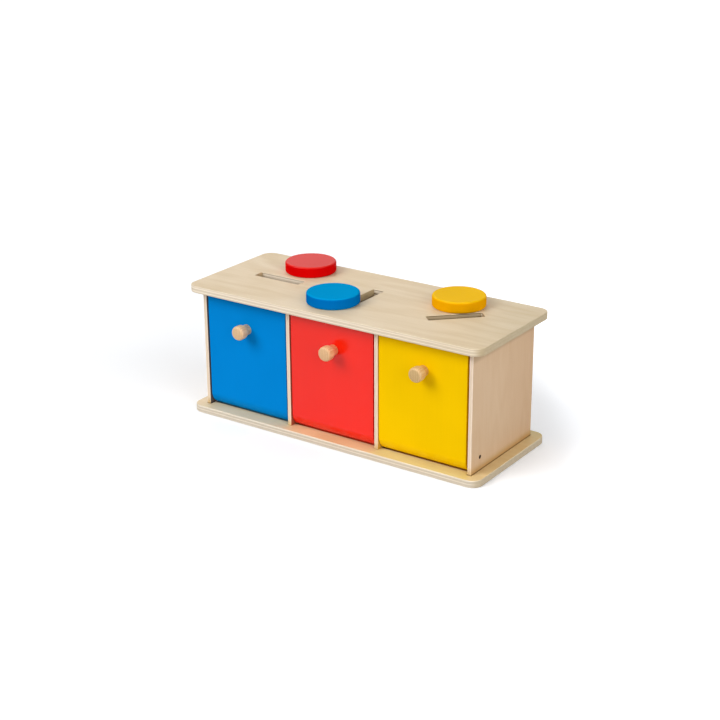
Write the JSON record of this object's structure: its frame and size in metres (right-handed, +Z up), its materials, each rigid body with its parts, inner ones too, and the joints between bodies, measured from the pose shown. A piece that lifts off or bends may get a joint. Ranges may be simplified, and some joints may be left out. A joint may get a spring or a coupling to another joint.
{
  "type": "colour sorter",
  "caption": "Wooden colour-sorting toy: a plywood case with painted bins that tilt forward on a pivot rod, slots in its top board and loose painted discs to post through them.",
  "frame": {"origin": "middle of the base board's underside", "axes": "+X along the case to the viewer's right, +Y towards its back, +Z up; the bins open towards -Y"},
  "size_m": [0.2986, 0.1229, 0.1298],
  "materials": {
    "board_ply": "pale plywood, clear matt lacquer",
    "wall_ply": "pale plywood, clear matt lacquer",
    "bin_ply": "pale plywood, bare",
    "blue_paint": "satin blue paint",
    "red_paint": "satin red paint",
    "yellow_paint": "satin yellow paint",
    "knob_wood": "turned wood, clear matt lacquer",
    "steel": "bright steel"
  },
  "bodies": {
    "case": {"base_board": "board_ply", "top_board": "board_ply", "left_wall": "wall_ply", "right_wall": "wall_ply", "left_divider": "wall_ply", "right_divider": "wall_ply", "back_panel": "wall_ply", "pivot_rod": "steel"},
    "blue_bin": {"blue_face": "blue_paint", "blue_left_side": "bin_ply", "blue_right_side": "bin_ply", "blue_floor": "bin_ply", "blue_back": "bin_ply", "blue_knob": "knob_wood", "blue_knob_screw": "steel"},
    "red_bin": {"red_face": "red_paint", "red_left_side": "bin_ply", "red_right_side": "bin_ply", "red_floor": "bin_ply", "red_back": "bin_ply", "red_knob": "knob_wood", "red_knob_screw": "steel"},
    "yellow_bin": {"yellow_face": "yellow_paint", "yellow_left_side": "bin_ply", "yellow_right_side": "bin_ply", "yellow_floor": "bin_ply", "yellow_back": "bin_ply", "yellow_knob": "knob_wood", "yellow_knob_screw": "steel"},
    "loose_blue_disc": {"blue_disc": "blue_paint"},
    "loose_red_disc": {"red_disc": "red_paint"},
    "loose_yellow_disc": {"yellow_disc": "yellow_paint"}
  },
  "joints": [
    {"name": "blue_bin_tilt", "type": "hinge", "parent": "case", "child": "blue_bin", "pos_m": [-0.0911, -0.036, 0.0182], "axis": [1, 0, 0], "range_deg": [0, 38]},
    {"name": "red_bin_tilt", "type": "hinge", "parent": "case", "child": "red_bin", "pos_m": [0, -0.036, 0.0182], "axis": [1, 0, 0], "range_deg": [0, 38]},
    {"name": "yellow_bin_tilt", "type": "hinge", "parent": "case", "child": "yellow_bin", "pos_m": [0.0911, -0.036, 0.0182], "axis": [1, 0, 0], "range_deg": [0, 38]},
    {"name": "blue_disc_lift", "type": "slide", "parent": "case", "child": "loose_blue_disc", "axis": [0, 0, 1], "range_m": [0, 0.06]},
    {"name": "red_disc_lift", "type": "slide", "parent": "case", "child": "loose_red_disc", "axis": [0, 0, 1], "range_m": [0, 0.06]},
    {"name": "yellow_disc_lift", "type": "slide", "parent": "case", "child": "loose_yellow_disc", "axis": [0, 0, 1], "range_m": [0, 0.06]}
  ]
}
